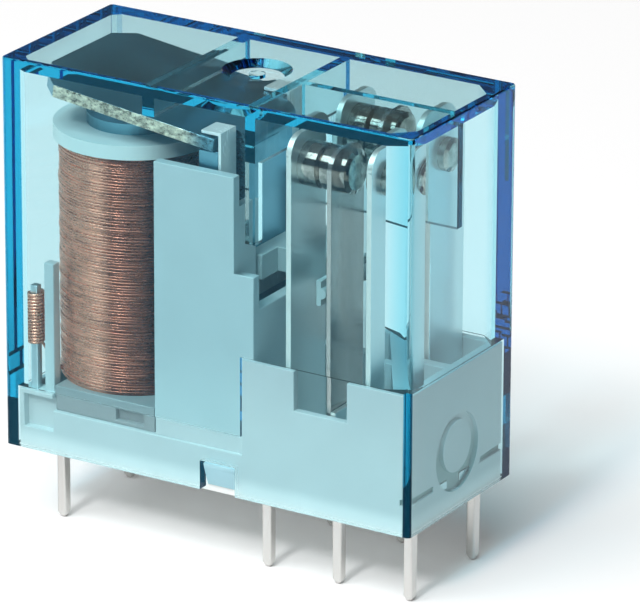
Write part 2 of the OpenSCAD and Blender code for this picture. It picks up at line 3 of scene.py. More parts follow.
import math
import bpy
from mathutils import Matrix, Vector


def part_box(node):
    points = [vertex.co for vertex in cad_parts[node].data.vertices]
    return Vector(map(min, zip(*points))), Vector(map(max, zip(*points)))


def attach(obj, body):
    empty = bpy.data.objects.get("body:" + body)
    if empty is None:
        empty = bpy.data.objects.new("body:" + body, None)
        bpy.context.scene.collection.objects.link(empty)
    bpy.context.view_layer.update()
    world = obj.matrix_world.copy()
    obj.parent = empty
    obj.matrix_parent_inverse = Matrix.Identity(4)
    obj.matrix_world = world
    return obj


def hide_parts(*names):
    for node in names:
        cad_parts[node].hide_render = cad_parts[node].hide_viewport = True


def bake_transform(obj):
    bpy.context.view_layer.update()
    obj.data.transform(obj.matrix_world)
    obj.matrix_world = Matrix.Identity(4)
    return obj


bl_info = {
    "name": "Clear Cover Relay",
    "version": (1, 0, 0),
    "blender": (4, 5, 0),
    "location": "View3D > Sidebar > Relay",
    "description": "Dresses a two-pole relay: clear cover, copper coil, iron circuit, contacts and stage",
    "category": "Object",
}

import bmesh
import bpy
from bpy.props import FloatProperty, FloatVectorProperty, IntProperty, PointerProperty
from mathutils import Matrix, Vector

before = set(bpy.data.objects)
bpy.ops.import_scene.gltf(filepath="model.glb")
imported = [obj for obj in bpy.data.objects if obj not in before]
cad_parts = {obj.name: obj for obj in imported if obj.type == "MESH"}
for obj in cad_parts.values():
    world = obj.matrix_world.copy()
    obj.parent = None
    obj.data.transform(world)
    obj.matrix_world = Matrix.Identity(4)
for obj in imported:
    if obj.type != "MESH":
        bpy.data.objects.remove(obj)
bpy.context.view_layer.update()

SIDES = ("front", "back")
WHITE = (1.0, 1.0, 1.0, 1.0)

# Limits for meshes, in metres and radians
MERGE_DISTANCE = 2e-6
FLAT_ANGLE = math.radians(0.5)
SHARP_ANGLE = 0.7
SMOOTH_ANGLE = math.radians(40)
WIRE_SMOOTH_ANGLE = math.radians(80)

# Stage, in metres; the fades are sines of the elevation
LAMP_DISTANCE = 1.25
LAMP_AIM = Vector((0.0, 0.0, 0.012))
FLOOR_RADIUS = 3.0
BACKDROP_FADE = (0.03, 0.12)
CEILING_FADE = (0.45, 0.75)

# Where a colour changes, in metres from the place that the piece gives
# FOOT_FADE: where the painted light along the base's lower edge fades out
FOOT_FADE = (0.0004, 0.0014)
# TOWER_FADE: where the painted shade over the base's upper part sets in
TOWER_FADE = (0.0040, 0.0095)
# GROOVE_FADE: where the painted shade in the end face's ring and seam gives way to the lit base colour
# above
GROOVE_FADE = (0.0028, 0.0052)
# FLANGE_FADE: where the coil former turns to the paler upper flange, partly painted light
FLANGE_FADE = (-0.006, -0.003)
# COIL_FADE: where the painted shade on the winding's yoke side sets in
COIL_FADE = (0.0001, 0.0013)
BEND_FADE = (-0.0035, -0.0015)
PIN_FADE = (0.0005, 0.0015)

# Faces and edges that are picked out, in metres
ROOF_SLACK = 1e-5
ROOF_BAND = 4e-4
# LATCH_DEPTH picks the catch faces that get the painted blue shade
LATCH_DEPTH = 0.0007
# The GROOVE limits pick the ring's and the seam's faces that get painted shade
GROOVE_SHALLOW = 5e-5
GROOVE_DEEP = 6e-4
GROOVE_TOP = 0.0118
PIN_ROOT = 0.003

# Winding, as shares of a turn's pitch and of the wire's radius
WIRE_SHARE = 0.52
UNDER_DEPTH = 1.7

# Wire ends, in metres
POST_HALF = 0.00025
END_WIRE = 0.000095
WRAP_RING = 0.00047
WRAP_INSET = 0.0001
WRAP_PITCH = 0.00022
WRAP_STEPS = 20
LEAD_STEPS = 10
LEAD_SAG = 0.00012
LEAD_DEPTH = 0.00012
LEAD_RISE = 0.0004

# Moving blades and rounded edges, in metres
BEND_FOOT = 0.0019
BEND_LEAD = 0.0006
BEND_REACH = 0.0045
BEND_CUTS = 16
BLADE_EDGE = 0.00003
YOKE_EDGE = 0.00010
LEAF_EDGE = 0.00002


# Settings that a user would change

def colour_property(name, description, default):
    """A colour in the sidebar."""
    return FloatVectorProperty(
        name=name, description=description, subtype="COLOR", size=3, min=0.0, max=1.0, default=default,
    )


def width_property(name, description, default):
    """The width of a rounding in the sidebar."""
    return FloatProperty(
        name=name, description=description, unit="LENGTH", min=0.0, precision=5, default=default,
    )


def power_property(name, description, default):
    """The power of a lamp in the sidebar."""
    return FloatProperty(name=name, description=description, unit="POWER", min=0.0, default=default)


class CoverSettings(bpy.types.PropertyGroup):
    """Clear cover"""

    passes: colour_property(
        "Passed colour", "Share of each colour that the plastic doesn't take off", (0.0, 0.775, 0.905),
    )
    density: FloatProperty(
        name="Absorption", description="Light taken off per metre of plastic", min=0.0, default=300.0,
    )
    lamp_tint: colour_property(
        "Lamp tint", "Colour of lamp light that has passed one surface", (0.985, 0.97, 0.965),
    )
    mirror_tint: colour_property("Mirror tint", "Colour of what the plastic mirrors", (0.06, 0.25, 0.40))
    bending: FloatProperty(
        name="Refractive index", description="How far the plastic bends light",
        min=1.0, max=2.0, default=1.55,
    )
    edge: width_property("Edge rounding", "Width of the rounding on the roof's outer edges", 0.00012)


class MouldingSettings(bpy.types.PropertyGroup):
    """Off-white plastic"""

    base_colour: colour_property("Base", "Colour of the base", (0.70, 0.745, 0.745))
    # Painted light: the base is painted paler along its lower edge, for light from the floor and through
    # the cover's edge
    foot_light_colour: colour_property("Foot", "Colour of the base along its lower edge", (0.92, 0.955, 0.945))
    # Painted shade: the base's upper part is painted darker, for the shade deep behind the cover's wall
    tower_shade_colour: colour_property("Tower", "Colour of the base's upper part", (0.60, 0.64, 0.65))
    # Painted shade: the ring and the seam in the end face are painted darker, and lit again higher up
    shade_colour: colour_property(
        "Recesses", "Colour of the ring and the seam in the base's end", (0.38, 0.50, 0.48),
    )
    # Painted shade: the catches in the notches are painted in the cover's blue shade
    latch_shade_colour: colour_property(
        "Latches", "Colour of the catches in the cover's notches", (0.39, 0.685, 0.78),
    )
    # Partly a greyer plastic, partly painted shade: the lower flange is darker than its plain colour
    bobbin_colour: colour_property(
        "Bobbin", "Colour of the coil former's lower flange", (0.40, 0.405, 0.405),
    )
    # Partly the plastic's own colour, partly painted light: the upper flange is painted paler to lift the
    # armature's shade
    flange_light_colour: colour_property(
        "Upper flange", "Colour of the coil former's upper flange", (0.84, 0.87, 0.85),
    )
    # Partly the card's own colour, partly painted shade: it is darker than its plain colour
    pusher_colour: colour_property("Pusher", "Colour of the card that moves the blades", (0.46, 0.52, 0.52))
    edge: width_property("Edge rounding", "Width of the rounding on moulded edges", 0.00007)


class CoilSettings(bpy.types.PropertyGroup):
    """Copper winding"""

    turns: IntProperty(
        name="Turns in view", description="Turns of the outer layer", min=10, default=84,
    )
    unevenness: FloatProperty(
        name="Unevenness", description="How far a turn wanders from its place",
        unit="LENGTH", min=0.0, precision=5, default=0.00007,
    )
    wire_colour: colour_property("Wire", "Colour of the enamelled copper", (1.0, 0.46, 0.32))
    # Painted shade: the winding is painted darker on its side toward the yoke
    yoke_shade_colour: colour_property(
        "Wire near the yoke", "Colour of the winding on the side of the yoke", (0.32, 0.10, 0.06),
    )
    wrap_turns: IntProperty(
        name="Turns on a post", description="Turns of wire round each coil post", min=4, default=16,
    )


class MetalSettings(bpy.types.PropertyGroup):
    """Metal finishes"""

    # Partly plated iron, partly painted reflection: a dark blue tone for the dark, blue surroundings it
    # mirrors
    iron_reflection_colour: colour_property("Iron", "Colour of the core, yoke and armature", (0.17, 0.36, 0.45))
    sheared_colour: colour_property(
        "Armature's edge", "Colour of the armature's sheared edge", (0.95, 0.88, 0.70),
    )
    # Partly spring steel, partly painted light: pale and mostly dull to lift the shaded pocket it sits in
    spring_light_colour: colour_property("Hinge spring", "Colour of the hinge spring", (0.94, 0.95, 0.94))
    tin_colour: colour_property("Tin", "Colour of the tinned pins", (0.69, 0.68, 0.66))
    cut_colour: colour_property(
        "Terminals' edges", "Colour of the terminals' sheared edges", (0.88, 0.86, 0.82),
    )
    # Partly bare alloy, partly painted reflection: a cyan tone for the blue cover and pale base it mirrors
    alloy_reflection_colour: colour_property(
        "Alloy", "Colour of the bare terminal blades above the base", (0.72, 0.82, 0.84),
    )
    bronze_colour: colour_property("Bronze", "Colour of the moving blades", (0.57, 0.51, 0.48))
    silver_colour: colour_property("Contacts", "Colour of the contact rivets", (0.62, 0.55, 0.49))
    edge: width_property("Edge rounding", "Width of the rounding on stamped edges", 0.00004)
    pin_round: width_property("Pin rounding", "Width of the rounding on the pins' edges", 0.00016)


class StageSettings(bpy.types.PropertyGroup):
    """Camera, lamps and floor"""

    place: FloatVectorProperty(
        name="Camera place", description="Where the camera stands", subtype="XYZ", unit="LENGTH",
        size=3, precision=5, default=(0.193391, -0.309159, 0.153226),
    )
    azimuth: FloatProperty(
        name="Azimuth", description="Turn of the camera round the relay", subtype="ANGLE",
        default=math.radians(31.427),
    )
    elevation: FloatProperty(
        name="Elevation", description="Height of the camera over the horizon", subtype="ANGLE",
        default=math.radians(20.722),
    )
    roll: FloatProperty(
        name="Roll", description="Roll of the camera", subtype="ANGLE", default=math.radians(0.215),
    )
    lens: FloatProperty(
        name="Focal length", description="Focal length on a sensor 36 mm wide", min=1.0, default=359.92,
    )
    horizon: FloatProperty(
        name="Horizon", description="Even light from the pale backdrop all round", min=0.0, default=1.0,
    )
    sky: FloatProperty(
        name="Sky", description="Even light from over the backdrop", min=0.0, default=0.09,
    )
    ceiling: FloatProperty(
        name="Ceiling", description="Even light from overhead", min=0.0, default=0.22,
    )
    floor_grey: FloatProperty(
        name="Floor", description="Share of the light that the floor sends back", min=0.0, max=1.0,
        default=0.80,
    )
    floor_glow: FloatProperty(
        name="Floor glow", description="Light added to the floor where it is seen", min=0.0, default=0.045,
    )
    key: power_property("Key lamp", "Power of the small lamp at the front", 5.6)
    top: power_property("Top lamp", "Power of the soft lamp high over the front", 8.6)
    left: power_property("Left lamp", "Power of the soft lamp at the front left", 3.0)


class RelaySettings(bpy.types.PropertyGroup):
    """All settings of the relay"""

    cover: PointerProperty(type=CoverSettings)
    moulding: PointerProperty(type=MouldingSettings)
    coil: PointerProperty(type=CoilSettings)
    metal: PointerProperty(type=MetalSettings)
    stage: PointerProperty(type=StageSettings)


# Node helpers

def put(tree, kind, inputs=None, **options):
    """Adds a node, and sets its options and its inputs by name."""
    made = tree.nodes.new(kind)
    for name, value in options.items():
        setattr(made, name, value)
    for name, value in (inputs or {}).items():
        made.inputs[name].default_value = value
    return made


def wire(tree, source, target):
    """Links an output to an input."""
    tree.links.new(source, target)


def socket_of(node, identifier, outputs=False):
    """The socket of a node with this identifier, where several share a name."""
    for socket in node.outputs if outputs else node.inputs:
        if socket.identifier == identifier:
            return socket
    raise KeyError(identifier)


def group_with(kind, name, inputs, outputs):
    """A node group with named sockets, and its two end nodes."""
    group = bpy.data.node_groups.new(name, kind)
    for way, sockets in (("INPUT", inputs), ("OUTPUT", outputs)):
        for title, socket in sockets:
            group.interface.new_socket(title, in_out=way, socket_type=socket)
    return group, group.nodes.new("NodeGroupInput"), group.nodes.new("NodeGroupOutput")


def surface_finish():
    """Group that shades a colour in soft patches, and roughens it with a fine grain."""
    name = "Surface finish"
    if name in bpy.data.node_groups:
        return bpy.data.node_groups[name]
    group, start, end = group_with("ShaderNodeTree", name, (
        ("Vector", "NodeSocketVector"),
        ("Colour", "NodeSocketColor"),
        ("Shade", "NodeSocketFloat"),
        ("Roughness", "NodeSocketFloat"),
        ("Spread", "NodeSocketFloat"),
        ("Patches", "NodeSocketFloat"),
        ("Grain", "NodeSocketFloat"),
    ), (
        ("Colour", "NodeSocketColor"),
        ("Roughness", "NodeSocketFloat"),
        ("Height", "NodeSocketFloat"),
    ))
    patches = put(group, "ShaderNodeTexNoise", {"Detail": 4.0, "Roughness": 0.6})
    grain = put(group, "ShaderNodeTexNoise", {"Detail": 2.0})
    for texture, scale in ((patches, "Patches"), (grain, "Grain")):
        wire(group, start.outputs["Vector"], texture.inputs["Vector"])
        wire(group, start.outputs[scale], texture.inputs["Scale"])
    darkest = put(group, "ShaderNodeMath", operation="SUBTRACT")
    darkest.inputs[0].default_value = 1.0
    wire(group, start.outputs["Shade"], darkest.inputs[1])
    noise_range = {"From Min": 0.3, "From Max": 0.7}
    shade = put(group, "ShaderNodeMapRange", {**noise_range, "To Max": 1.0})
    wire(group, patches.outputs["Fac"], shade.inputs["Value"])
    wire(group, darkest.outputs[0], shade.inputs["To Min"])
    tone = put(group, "ShaderNodeVectorMath", operation="SCALE")
    wire(group, start.outputs["Colour"], tone.inputs[0])
    wire(group, shade.outputs["Result"], tone.inputs["Scale"])
    lowest = put(group, "ShaderNodeMath", operation="SUBTRACT")
    highest = put(group, "ShaderNodeMath", operation="ADD")
    for bound in (lowest, highest):
        wire(group, start.outputs["Roughness"], bound.inputs[0])
        wire(group, start.outputs["Spread"], bound.inputs[1])
    half = put(group, "ShaderNodeMath", operation="MULTIPLY")
    half.inputs[1].default_value = 0.5
    wire(group, patches.outputs["Fac"], half.inputs[0])
    mixed = put(group, "ShaderNodeMath", operation="MULTIPLY_ADD")
    mixed.inputs[1].default_value = 0.5
    wire(group, grain.outputs["Fac"], mixed.inputs[0])
    wire(group, half.outputs[0], mixed.inputs[2])
    rough = put(group, "ShaderNodeMapRange", noise_range)
    wire(group, mixed.outputs[0], rough.inputs["Value"])
    wire(group, lowest.outputs[0], rough.inputs["To Min"])
    wire(group, highest.outputs[0], rough.inputs["To Max"])
    wire(group, tone.outputs[0], end.inputs["Colour"])
    wire(group, rough.outputs["Result"], end.inputs["Roughness"])
    wire(group, grain.outputs["Fac"], end.inputs["Height"])
    return group


def blank_material(name):
    """A material with only its output node."""
    material = bpy.data.materials.new(name)
    material.use_nodes = True
    tree = material.node_tree
    tree.nodes.clear()
    return material, tree, tree.nodes.new("ShaderNodeOutputMaterial")


def fade(axis, origin, span, colour):
    """A change to a colour along an axis, over a span that is counted from an origin."""
    return axis, origin + span[0], origin + span[1], colour


def finished_material(name, colour, shader, finish, bump, stretch=(1.0, 1.0, 1.0), changes=()):
    """A material whose colour, roughness and bump come from the surface finish group.

    The bump holds its strength and depth, and the stretch lays the grain along a rolled or drawn
    direction. The colour may change along an axis, once or several times, as fade gives it.
    """
    material, tree, output = blank_material(name)
    place = put(tree, "ShaderNodeTexCoord")
    lay = put(tree, "ShaderNodeMapping", {"Scale": stretch})
    wire(tree, place.outputs["Object"], lay.inputs["Vector"])
    effect = put(tree, "ShaderNodeGroup", node_tree=surface_finish())
    for title, value in finish.items():
        effect.inputs[title].default_value = value
    effect.inputs["Colour"].default_value = (*colour, 1.0)
    wire(tree, lay.outputs["Vector"], effect.inputs["Vector"])
    before = None
    for axis, start, end, past in changes:
        split = put(tree, "ShaderNodeSeparateXYZ")
        wire(tree, place.outputs["Object"], split.inputs[0])
        level = put(
            tree, "ShaderNodeMapRange", {"From Min": start, "From Max": end},
            interpolation_type="SMOOTHSTEP",
        )
        wire(tree, split.outputs[axis], level.inputs["Value"])
        tint = put(tree, "ShaderNodeMix", data_type="RGBA")
        if before is None:
            socket_of(tint, "A_Color").default_value = (*colour, 1.0)
        else:
            wire(tree, before, socket_of(tint, "A_Color"))
        socket_of(tint, "B_Color").default_value = (*past, 1.0)
        wire(tree, level.outputs["Result"], socket_of(tint, "Factor_Float"))
        before = socket_of(tint, "Result_Color", outputs=True)
    if before is not None:
        wire(tree, before, effect.inputs["Colour"])
    surface = put(tree, "ShaderNodeBsdfPrincipled", shader)
    wire(tree, effect.outputs["Colour"], surface.inputs["Base Color"])
    wire(tree, effect.outputs["Roughness"], surface.inputs["Roughness"])
    raised = put(tree, "ShaderNodeBump", {"Strength": bump[0], "Distance": bump[1]})
    wire(tree, effect.outputs["Height"], raised.inputs["Height"])
    wire(tree, raised.outputs["Normal"], surface.inputs["Normal"])
    wire(tree, surface.outputs[0], output.inputs["Surface"])
    return material


# Mesh helpers

def show(mesh, name):
    """A new object for a mesh, in the scene, at the origin."""
    made = bpy.data.objects.new(name, mesh)
    bpy.context.scene.collection.objects.link(made)
    return made


def merged_shape(node):
    """A CAD node's triangles with their doubles merged and flat ones joined."""
    shape = bmesh.new()
    shape.from_mesh(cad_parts[node].data)
    bmesh.ops.remove_doubles(shape, verts=shape.verts, dist=MERGE_DISTANCE)
    bmesh.ops.dissolve_limit(shape, angle_limit=FLAT_ANGLE, verts=shape.verts, edges=shape.edges)
    return shape


def round_edges(shape, width, segments=2, shortest=0.0004, allow=None):
    """Rounds the sharp outer edges of a shape that are long enough to show."""
    chosen = []
    for edge in shape.edges:
        if not edge.is_manifold or not edge.is_convex or edge.calc_length() < shortest:
            continue
        if edge.calc_face_angle() > SHARP_ANGLE and (allow is None or allow(edge)):
            chosen.append(edge)
    bmesh.ops.bevel(
        shape, geom=chosen, offset=width, offset_type="OFFSET", segments=segments, profile=0.5,
        affect="EDGES", clamp_overlap=False,
    )


def smooth_faces(mesh, angle):
    """Shades a mesh smooth, apart from edges sharper than an angle."""
    mesh.polygons.foreach_set("use_smooth", [True] * len(mesh.polygons))
    mesh.set_sharp_from_angle(angle=angle)


def finished_mesh(shape, name, smooth=True):
    """An object for a shape, with its rounded edges smooth and its flat faces flat."""
    mesh = bpy.data.meshes.new(name)
    shape.to_mesh(mesh)
    shape.free()
    if not smooth:
        return show(mesh, name)
    smooth_faces(mesh, SMOOTH_ANGLE)
    made = show(mesh, name)
    made.modifiers.new("Flat faces", "WEIGHTED_NORMAL").keep_sharp = True
    return plain(made)


def plain(made):
    """Swaps an object's modifiers for the mesh that they make."""
    graph = bpy.context.evaluated_depsgraph_get()
    graph.update()
    mesh = bpy.data.meshes.new_from_object(
        made.evaluated_get(graph), preserve_all_data_layers=True, depsgraph=graph,
    )
    made.modifiers.clear()
    old = made.data
    made.data = mesh
    mesh.name = made.name
    bpy.data.meshes.remove(old)
    return made


def paint(target, material):
    """Gives an object this material alone."""
    target.data.materials.clear()
    target.data.materials.append(material)


def paint_faces(target, material, chosen):
    """Gives the chosen faces of an object a material of their own."""
    target.data.materials.append(material)
    for face in target.data.polygons:
        if chosen(face):
            face.material_index = len(target.data.materials) - 1


def stand_for(made, node, body):
    """Lets a piece stand for a CAD node on a body."""
    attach(made, body)
    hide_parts(node)


def softened(node, name, width, material, body, slot, **rules):
    """A copy of a CAD node with rounded edges, in its place."""
    shape = merged_shape(node)
    round_edges(shape, width, **rules)
    made = finished_mesh(shape, name)
    paint(made, material)
    stand_for(made, node, body)
    return made


# Stage

def direction(azimuth, elevation):
    """Unit vector toward a place so far round from the front and so high."""
    return Vector((
        math.sin(azimuth) * math.cos(elevation),
        -math.cos(azimuth) * math.cos(elevation),
        math.sin(elevation),
    ))


class RELAY_OT_stage(bpy.types.Operator):
    """Sets up the camera, the lamps, the world and the floor"""

    bl_idname = "relay.stage"
    bl_label = "Set the stage"

    def execute(self, context):
        settings = context.scene.relay.stage
        context.scene.view_settings.view_transform = "Standard"
        self.camera(context, settings)
        self.lamp("key_lamp", azimuth=1.0, elevation=44.0, size=0.22, power=settings.key)
        self.lamp("top_lamp", azimuth=0.0, elevation=65.0, size=0.80, power=settings.top)
        self.lamp("left_lamp", azimuth=-40.0, elevation=48.0, size=0.60, power=settings.left)
        self.world(context, settings)
        self.floor(settings)
        cycles = context.scene.cycles
        cycles.max_bounces = 72
        cycles.diffuse_bounces = 16
        cycles.transmission_bounces = 72
        cycles.transparent_max_bounces = 24
        cycles.glossy_bounces = 72
        return {"FINISHED"}

    def camera(self, context, settings):
        """The camera, set by its place and its three angles."""
        back = direction(settings.azimuth, settings.elevation)
        right = Vector((math.cos(settings.azimuth), math.sin(settings.azimuth), 0.0))
        up = back.cross(right)
        level = right * math.cos(settings.roll) + up * math.sin(settings.roll)
        upright = up * math.cos(settings.roll) - right * math.sin(settings.roll)
        data = bpy.data.cameras.new("camera")
        data.lens = settings.lens
        data.sensor_fit = "HORIZONTAL"
        data.sensor_width = 36.0
        data.clip_start = 0.01
        data.clip_end = 20.0
        made = bpy.data.objects.new("camera", data)
        turned = Matrix((level, upright, back)).transposed().to_4x4()
        made.matrix_world = Matrix.Translation(Vector(settings.place)) @ turned
        context.scene.collection.objects.link(made)
        context.scene.camera = made

    def lamp(self, name, azimuth, elevation, size, power):
        """A round lamp at angles in degrees, turned to the relay's middle."""
        data = bpy.data.lights.new(name, "AREA")
        data.shape = "DISK"
        data.size = size
        data.energy = power
        made = bpy.data.objects.new(name, data)
        place = LAMP_DISTANCE * direction(math.radians(azimuth), math.radians(elevation))
        made.location = place
        made.rotation_euler = (LAMP_AIM - place).to_track_quat("-Z", "Y").to_euler()
        bpy.context.scene.collection.objects.link(made)

    def white_share(self, tree):
        """Light Path factor of the rays that should meet plain white."""
        path = put(tree, "ShaderNodeLightPath")
        first = put(tree, "ShaderNodeMath", operation="MAXIMUM")
        wire(tree, path.outputs["Is Camera Ray"], first.inputs[0])
        wire(tree, path.outputs["Is Glossy Ray"], first.inputs[1])
        second = put(tree, "ShaderNodeMath", operation="MAXIMUM")
        wire(tree, first.outputs[0], second.inputs[0])
        wire(tree, path.outputs["Is Transmission Ray"], second.inputs[1])
        return second.outputs[0]

    def world(self, context, settings):
        """A pale backdrop round the horizon, a dim sky over it and a soft ceiling."""
        world = bpy.data.worlds.new("studio")
        world.use_nodes = True
        tree = world.node_tree
        tree.nodes.clear()
        output = put(tree, "ShaderNodeOutputWorld")
        place = put(tree, "ShaderNodeTexCoord")
        split = put(tree, "ShaderNodeSeparateXYZ")
        wire(tree, place.outputs["Generated"], split.inputs[0])
        both = put(tree, "ShaderNodeMath", operation="ADD")
        fades = (
            (BACKDROP_FADE, settings.horizon, settings.sky),
            (CEILING_FADE, 0.0, settings.ceiling - settings.sky),
        )
        for term, (span, below, above) in zip(both.inputs, fades):
            level = put(tree, "ShaderNodeMapRange", {
                "From Min": span[0], "From Max": span[1], "To Min": below, "To Max": above,
            }, interpolation_type="SMOOTHSTEP")
            wire(tree, split.outputs["Z"], level.inputs["Value"])
            wire(tree, level.outputs["Result"], term)
        light = put(tree, "ShaderNodeBackground", {"Color": WHITE})
        wire(tree, both.outputs[0], light.inputs["Strength"])
        wire(tree, light.outputs[0], output.inputs["Surface"])
        context.scene.world = world

    def floor(self, settings):
        """A floor that looks whiter than the light it sends back, and keeps the shadow."""
        material, tree, output = blank_material("pale_floor")
        grey = settings.floor_grey
        pale = put(tree, "ShaderNodeBsdfDiffuse", {"Color": (grey, grey, grey, 1.0)})
        glow = put(tree, "ShaderNodeEmission", {"Color": WHITE, "Strength": settings.floor_glow})
        shaded = put(tree, "ShaderNodeBsdfDiffuse", {"Color": WHITE})
        bright = put(tree, "ShaderNodeAddShader")
        wire(tree, glow.outputs[0], bright.inputs[0])
        wire(tree, shaded.outputs[0], bright.inputs[1])
        choice = put(tree, "ShaderNodeMixShader")
        wire(tree, self.white_share(tree), choice.inputs[0])
        wire(tree, pale.outputs[0], choice.inputs[1])
        wire(tree, bright.outputs[0], choice.inputs[2])
        wire(tree, choice.outputs[0], output.inputs["Surface"])
        shape = bmesh.new()
        bmesh.ops.create_circle(shape, cap_ends=True, radius=FLOOR_RADIUS, segments=64)
        made = finished_mesh(shape, "floor", smooth=False)
        paint(made, material)


# Cover

class RELAY_OT_cover(bpy.types.Operator):
    """Makes the clear cover with its rounded roof edges"""

    bl_idname = "relay.cover"
    bl_label = "Make the cover"

    def execute(self, context):
        settings = context.scene.relay.cover
        shape = merged_shape("cover")
        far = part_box("cover")[1]

        def on_roof(edge):
            """Tells the roof's outer edges."""
            if any(v.co.z < far.z - ROOF_SLACK for v in edge.verts):
                return False
            return any(abs(f.normal.z) < 0.5 for f in edge.link_faces) and all(
                abs(v.co.x) > far.x - ROOF_BAND or abs(v.co.y) > far.y - ROOF_BAND for v in edge.verts
            )

        round_edges(shape, settings.edge, segments=3, shortest=0.0, allow=on_roof)
        made = finished_mesh(shape, "clear_cover", smooth=False)
        paint(made, self.clear_blue(settings))
        stand_for(made, "cover", "housing")
        return {"FINISHED"}

    def clear_blue(self, settings):
        """Clear plastic that tints by its depth, and lets lamp and bounced light straight through."""
        material, tree, output = blank_material("clear_blue")
        place = put(tree, "ShaderNodeTexCoord")
        flow = put(tree, "ShaderNodeTexNoise", {"Scale": 160.0, "Detail": 1.0})
        wire(tree, place.outputs["Object"], flow.inputs["Vector"])
        wave = put(tree, "ShaderNodeBump", {"Strength": 0.02, "Distance": 0.0002})
        wire(tree, flow.outputs["Fac"], wave.inputs["Height"])
        plastic = put(tree, "ShaderNodeBsdfPrincipled", {
            "Base Color": WHITE, "Roughness": 0.0, "Transmission Weight": 1.0,
            "IOR": settings.bending, "Specular Tint": (*settings.mirror_tint, 1.0),
        })
        wire(tree, wave.outputs["Normal"], plastic.inputs["Normal"])
        path = put(tree, "ShaderNodeLightPath")
        open_way = put(tree, "ShaderNodeBsdfTransparent", {"Color": (*settings.lamp_tint, 1.0)})
        by_lamp = put(tree, "ShaderNodeMixShader")
        wire(tree, path.outputs["Is Shadow Ray"], by_lamp.inputs[0])
        wire(tree, plastic.outputs[0], by_lamp.inputs[1])
        wire(tree, open_way.outputs[0], by_lamp.inputs[2])
        by_bounce = put(tree, "ShaderNodeMixShader")
        wire(tree, path.outputs["Is Diffuse Ray"], by_bounce.inputs[0])
        wire(tree, by_lamp.outputs[0], by_bounce.inputs[1])
        wire(tree, open_way.outputs[0], by_bounce.inputs[2])
        wire(tree, by_bounce.outputs[0], output.inputs["Surface"])
        depth = put(tree, "ShaderNodeVolumeAbsorption", {
            "Color": (*settings.passes, 1.0), "Density": settings.density,
        })
        wire(tree, depth.outputs[0], output.inputs["Volume"])
        return material


# Moulded pieces

class RELAY_OT_mouldings(bpy.types.Operator):
    """Finishes the base, the coil former and the pusher"""

    bl_idname = "relay.mouldings"
    bl_label = "Finish the mouldings"

    def execute(self, context):
        settings = context.scene.relay.moulding
        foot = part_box("cover")[0].z
        # Painted light along the foot, fading to the base's own colour above it
        rise = fade("Z", foot, FOOT_FADE, settings.base_colour)
        # Painted shade over the base's upper part
        shaded_top = fade("Z", foot, TOWER_FADE, settings.tower_shade_colour)
        # The coil former turns paler toward its upper flange: partly painted light
        upper = fade("Z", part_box("bobbin")[1].z, FLANGE_FADE, settings.flange_light_colour)
        rows = (
            ("base", "base_moulding", settings.foot_light_colour, (rise, shaded_top), "housing", "base_plastic"),
            ("bobbin", "coil_former", settings.bobbin_colour, (upper,), "housing", "bobbin_plastic"),
            # The card's colour is partly painted shade
            ("pusher", "pusher_card", settings.pusher_colour, (), "armature", "bobbin_plastic"),
        )
        made = {}
        for node, name, colour, changes, body, slot in rows:
            material = self.plastic(name, colour, changes)
            made[node] = softened(node, name, settings.edge, material, body, slot, shortest=0.0005)
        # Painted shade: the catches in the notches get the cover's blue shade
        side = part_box("cover")[1].y - LATCH_DEPTH
        latch = self.plastic("latch_face", settings.latch_shade_colour)
        paint_faces(made["base"], latch, lambda face: abs(face.center.y) > side)
        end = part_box("base")[1].x
        # Painted shade in the end face's ring and seam, lit again higher up
        lit = fade("Z", foot, GROOVE_FADE, settings.base_colour)
        groove = self.plastic("end_groove", settings.shade_colour, (lit,))
        paint_faces(made["base"], groove, lambda face: self.in_groove(face, end))
        return {"FINISHED"}

    def plastic(self, name, colour, changes=()):
        """Moulded plastic with a faint, even grain."""
        finish = {"Shade": 0.06, "Roughness": 0.42, "Spread": 0.08, "Patches": 260.0, "Grain": 9000.0}
        return finished_material(name, colour, {"IOR": 1.5}, finish, (0.15, 0.00002), changes=changes)

    def in_groove(self, face, end):
        """Tells the floors and walls of the ring and the seam in the end face."""
        deep_enough = GROOVE_SHALLOW < end - face.center.x < GROOVE_DEEP
        return deep_enough and abs(face.normal.z) < 0.99 and face.center.z < GROOVE_TOP


# Coil

def sweep(group, start, end, curve, sides, place=None):
    """Adds nodes that sweep a round wire along a curve, place it, dress it and hand it out."""
    section = put(group, "GeometryNodeCurvePrimitiveCircle", {"Resolution": sides})
    wire(group, start.outputs["Wire radius"], section.inputs["Radius"])
    swept = put(group, "GeometryNodeCurveToMesh", {"Fill Caps": True})
    wire(group, curve, swept.inputs["Curve"])
    wire(group, section.outputs[0], swept.inputs["Profile Curve"])
    if place is not None:
        moved = put(group, "GeometryNodeTransform")
        wire(group, swept.outputs[0], moved.inputs["Geometry"])
        wire(group, place, moved.inputs["Translation"])
        swept = moved
    real = put(group, "GeometryNodeRealizeInstances")
    wire(group, swept.outputs[0], real.inputs[0])
    dressed = put(group, "GeometryNodeSetMaterial")
    wire(group, real.outputs[0], dressed.inputs["Geometry"])
    wire(group, start.outputs["Material"], dressed.inputs["Material"])
    wire(group, dressed.outputs[0], end.inputs["Geometry"])


